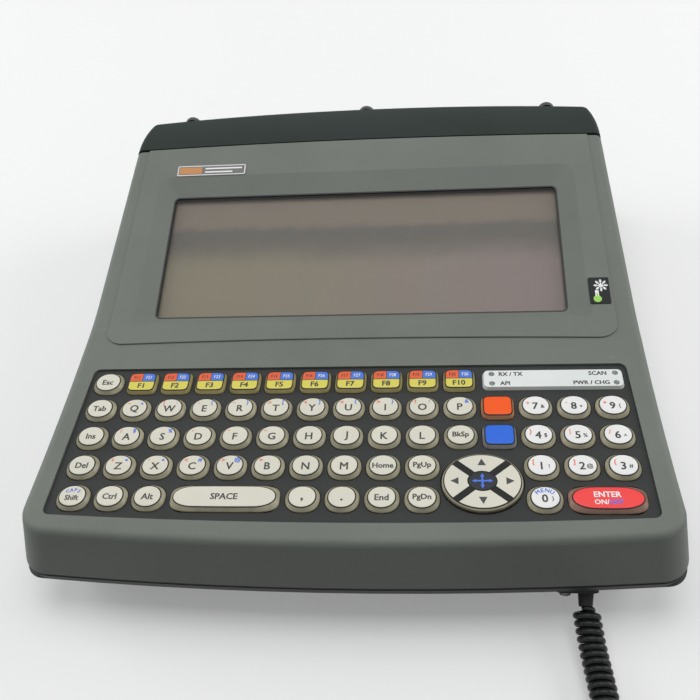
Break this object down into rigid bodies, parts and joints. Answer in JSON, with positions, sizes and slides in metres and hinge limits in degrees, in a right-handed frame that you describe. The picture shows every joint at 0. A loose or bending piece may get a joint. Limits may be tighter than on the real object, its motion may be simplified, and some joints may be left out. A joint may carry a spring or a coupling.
{
  "type": "data collector",
  "caption": "Rugged wide data collector with a half-height colour display over a full keypad, a radio cap and a coiled stylus tether.",
  "frame": {"origin": "centre of the box around the unit without its tether, on the rear rest face", "axes": "+X to the right of the user, +Y from the keypad to the display end, +Z out of the keypad"},
  "size_m": [0.2722, 0.3788, 0.0731],
  "materials": {
    "housing": "fine textured grey",
    "casing": "textured near black",
    "cap": "fine textured charcoal",
    "cap_fastener": "dark coated",
    "rubber_black": "matt",
    "steel": "plated",
    "window": "anti-glare",
    "black_plastic": "matt",
    "lcd": "unlit display",
    "panel": "textured overlay",
    "rubber_grey": "matt",
    "board": "solder mask",
    "strip": "printed",
    "light": "unlit",
    "label": "printed",
    "cold_label": "printed",
    "battery": "shrink wrap",
    "connector": "nickel plated",
    "brass": "plain",
    "tether": "satin",
    "stylus": "satin",
    "key": "satin",
    "key_white": "satin",
    "key_orange": "satin",
    "key_blue": "satin",
    "key_red": "satin",
    "key_yellow": "satin",
    "pivot": "natural"
  },
  "bodies": {
    "unit": {"anchor_screw": "steel", "antenna": "board", "backup_battery": "battery", "badge_plate": "label", "cap_screws": "cap_fastener", "casing_screws": "steel", "cold_label": "cold_label", "cord_anchor": "black_plastic", "display_window": "window", "front_bezel": "housing", "housing_seal": "rubber_black", "keypad_board": "board", "keypad_mat": "rubber_grey", "keypad_panel": "panel", "lcd_frame": "black_plastic", "lcd_module": "lcd", "main_board": "board", "mount_inserts": "brass", "power_connector": "connector", "radio_card": "board", "rear_casing": "casing", "serial_connector": "connector", "speaker": "black_plastic", "status_lights": "light", "status_strip": "strip", "stylus": "stylus", "tether_boot": "rubber_black", "tether_coil": "tether", "top_cap": "cap", "window_gasket": "rubber_black"},
    "function_keys_body": {"function_keys": "key_yellow"},
    "key_0_body": {"key_0": "key_white"},
    "key_1_body": {"key_1": "key_white"},
    "key_2_body": {"key_2": "key_white"},
    "key_3_body": {"key_3": "key_white"},
    "key_4_body": {"key_4": "key_white"},
    "key_5_body": {"key_5": "key_white"},
    "key_6_body": {"key_6": "key_white"},
    "key_7_body": {"key_7": "key_white"},
    "key_8_body": {"key_8": "key_white"},
    "key_9_body": {"key_9": "key_white"},
    "key_alt_body": {"key_alt": "key"},
    "key_backspace_body": {"key_backspace": "key"},
    "key_blue_body": {"key_blue": "key_blue"},
    "key_ctrl_body": {"key_ctrl": "key"},
    "key_delete_body": {"key_delete": "key"},
    "key_enter_body": {"key_enter": "key_red"},
    "key_esc_body": {"key_esc": "key"},
    "key_insert_body": {"key_insert": "key"},
    "key_orange_body": {"key_orange": "key_orange"},
    "key_shift_body": {"key_shift": "key"},
    "key_space_body": {"key_space": "key"},
    "key_tab_body": {"key_tab": "key"},
    "letter_keys_bottom_body": {"letter_keys_bottom": "key"},
    "letter_keys_middle_body": {"letter_keys_middle": "key"},
    "letter_keys_top_body": {"letter_keys_top": "key"},
    "paging_keys_body": {"paging_keys": "key"},
    "punctuation_keys_body": {"punctuation_keys": "key"},
    "arrow_pivot_body": {"arrow_pivot": "pivot"},
    "arrow_pad_body": {"arrow_pad": "key"}
  },
  "joints": [
    {"name": "function_keys_press", "type": "slide", "parent": "unit", "child": "function_keys_body", "axis": [0, 0, -1], "range_m": [0, 0.0012], "stiffness_N_per_m": 6000, "springref_m": -0.0008},
    {"name": "key_0_press", "type": "slide", "parent": "unit", "child": "key_0_body", "axis": [0, 0, -1], "range_m": [0, 0.0012], "stiffness_N_per_m": 600, "springref_m": -0.0008},
    {"name": "key_1_press", "type": "slide", "parent": "unit", "child": "key_1_body", "axis": [0, 0, -1], "range_m": [0, 0.0012], "stiffness_N_per_m": 600, "springref_m": -0.0008},
    {"name": "key_2_press", "type": "slide", "parent": "unit", "child": "key_2_body", "axis": [0, 0, -1], "range_m": [0, 0.0012], "stiffness_N_per_m": 600, "springref_m": -0.0008},
    {"name": "key_3_press", "type": "slide", "parent": "unit", "child": "key_3_body", "axis": [0, 0, -1], "range_m": [0, 0.0012], "stiffness_N_per_m": 600, "springref_m": -0.0008},
    {"name": "key_4_press", "type": "slide", "parent": "unit", "child": "key_4_body", "axis": [0, 0, -1], "range_m": [0, 0.0012], "stiffness_N_per_m": 600, "springref_m": -0.0008},
    {"name": "key_5_press", "type": "slide", "parent": "unit", "child": "key_5_body", "axis": [0, 0, -1], "range_m": [0, 0.0012], "stiffness_N_per_m": 600, "springref_m": -0.0008},
    {"name": "key_6_press", "type": "slide", "parent": "unit", "child": "key_6_body", "axis": [0, 0, -1], "range_m": [0, 0.0012], "stiffness_N_per_m": 600, "springref_m": -0.0008},
    {"name": "key_7_press", "type": "slide", "parent": "unit", "child": "key_7_body", "axis": [0, 0, -1], "range_m": [0, 0.0012], "stiffness_N_per_m": 600, "springref_m": -0.0008},
    {"name": "key_8_press", "type": "slide", "parent": "unit", "child": "key_8_body", "axis": [0, 0, -1], "range_m": [0, 0.0012], "stiffness_N_per_m": 600, "springref_m": -0.0008},
    {"name": "key_9_press", "type": "slide", "parent": "unit", "child": "key_9_body", "axis": [0, 0, -1], "range_m": [0, 0.0012], "stiffness_N_per_m": 600, "springref_m": -0.0008},
    {"name": "key_alt_press", "type": "slide", "parent": "unit", "child": "key_alt_body", "axis": [0, 0, -1], "range_m": [0, 0.0012], "stiffness_N_per_m": 600, "springref_m": -0.0008},
    {"name": "key_backspace_press", "type": "slide", "parent": "unit", "child": "key_backspace_body", "axis": [0, 0, -1], "range_m": [0, 0.0012], "stiffness_N_per_m": 600, "springref_m": -0.0008},
    {"name": "key_blue_press", "type": "slide", "parent": "unit", "child": "key_blue_body", "axis": [0, 0, -1], "range_m": [0, 0.0012], "stiffness_N_per_m": 600, "springref_m": -0.0008},
    {"name": "key_ctrl_press", "type": "slide", "parent": "unit", "child": "key_ctrl_body", "axis": [0, 0, -1], "range_m": [0, 0.0012], "stiffness_N_per_m": 600, "springref_m": -0.0008},
    {"name": "key_delete_press", "type": "slide", "parent": "unit", "child": "key_delete_body", "axis": [0, 0, -1], "range_m": [0, 0.0012], "stiffness_N_per_m": 600, "springref_m": -0.0008},
    {"name": "key_enter_press", "type": "slide", "parent": "unit", "child": "key_enter_body", "axis": [0, 0, -1], "range_m": [0, 0.0012], "stiffness_N_per_m": 600, "springref_m": -0.0008},
    {"name": "key_esc_press", "type": "slide", "parent": "unit", "child": "key_esc_body", "axis": [0, 0, -1], "range_m": [0, 0.0012], "stiffness_N_per_m": 600, "springref_m": -0.0008},
    {"name": "key_insert_press", "type": "slide", "parent": "unit", "child": "key_insert_body", "axis": [0, 0, -1], "range_m": [0, 0.0012], "stiffness_N_per_m": 600, "springref_m": -0.0008},
    {"name": "key_orange_press", "type": "slide", "parent": "unit", "child": "key_orange_body", "axis": [0, 0, -1], "range_m": [0, 0.0012], "stiffness_N_per_m": 600, "springref_m": -0.0008},
    {"name": "key_shift_press", "type": "slide", "parent": "unit", "child": "key_shift_body", "axis": [0, 0, -1], "range_m": [0, 0.0012], "stiffness_N_per_m": 600, "springref_m": -0.0008},
    {"name": "key_space_press", "type": "slide", "parent": "unit", "child": "key_space_body", "axis": [0, 0, -1], "range_m": [0, 0.0012], "stiffness_N_per_m": 600, "springref_m": -0.0008},
    {"name": "key_tab_press", "type": "slide", "parent": "unit", "child": "key_tab_body", "axis": [0, 0, -1], "range_m": [0, 0.0012], "stiffness_N_per_m": 600, "springref_m": -0.0008},
    {"name": "letter_keys_bottom_press", "type": "slide", "parent": "unit", "child": "letter_keys_bottom_body", "axis": [0, 0, -1], "range_m": [0, 0.0012], "stiffness_N_per_m": 4200, "springref_m": -0.0008},
    {"name": "letter_keys_middle_press", "type": "slide", "parent": "unit", "child": "letter_keys_middle_body", "axis": [0, 0, -1], "range_m": [0, 0.0012], "stiffness_N_per_m": 5400, "springref_m": -0.0008},
    {"name": "letter_keys_top_press", "type": "slide", "parent": "unit", "child": "letter_keys_top_body", "axis": [0, 0, -1], "range_m": [0, 0.0012], "stiffness_N_per_m": 6000, "springref_m": -0.0008},
    {"name": "paging_keys_press", "type": "slide", "parent": "unit", "child": "paging_keys_body", "axis": [0, 0, -1], "range_m": [0, 0.0012], "stiffness_N_per_m": 2400, "springref_m": -0.0008},
    {"name": "punctuation_keys_press", "type": "slide", "parent": "unit", "child": "punctuation_keys_body", "axis": [0, 0, -1], "range_m": [0, 0.0012], "stiffness_N_per_m": 1200, "springref_m": -0.0008},
    {"name": "arrow_pad_up_down", "type": "hinge", "parent": "unit", "child": "arrow_pivot_body", "pos_m": [0.056, -0.10115, 0.0443], "axis": [1, 0, 0], "range_deg": [-3, 3], "stiffness_Nm_per_rad": 0.5},
    {"name": "arrow_pad_left_right", "type": "hinge", "parent": "arrow_pivot_body", "child": "arrow_pad_body", "pos_m": [0.056, -0.10115, 0.0443], "axis": [0, 1, 0], "range_deg": [-3, 3], "stiffness_Nm_per_rad": 0.5}
  ]
}
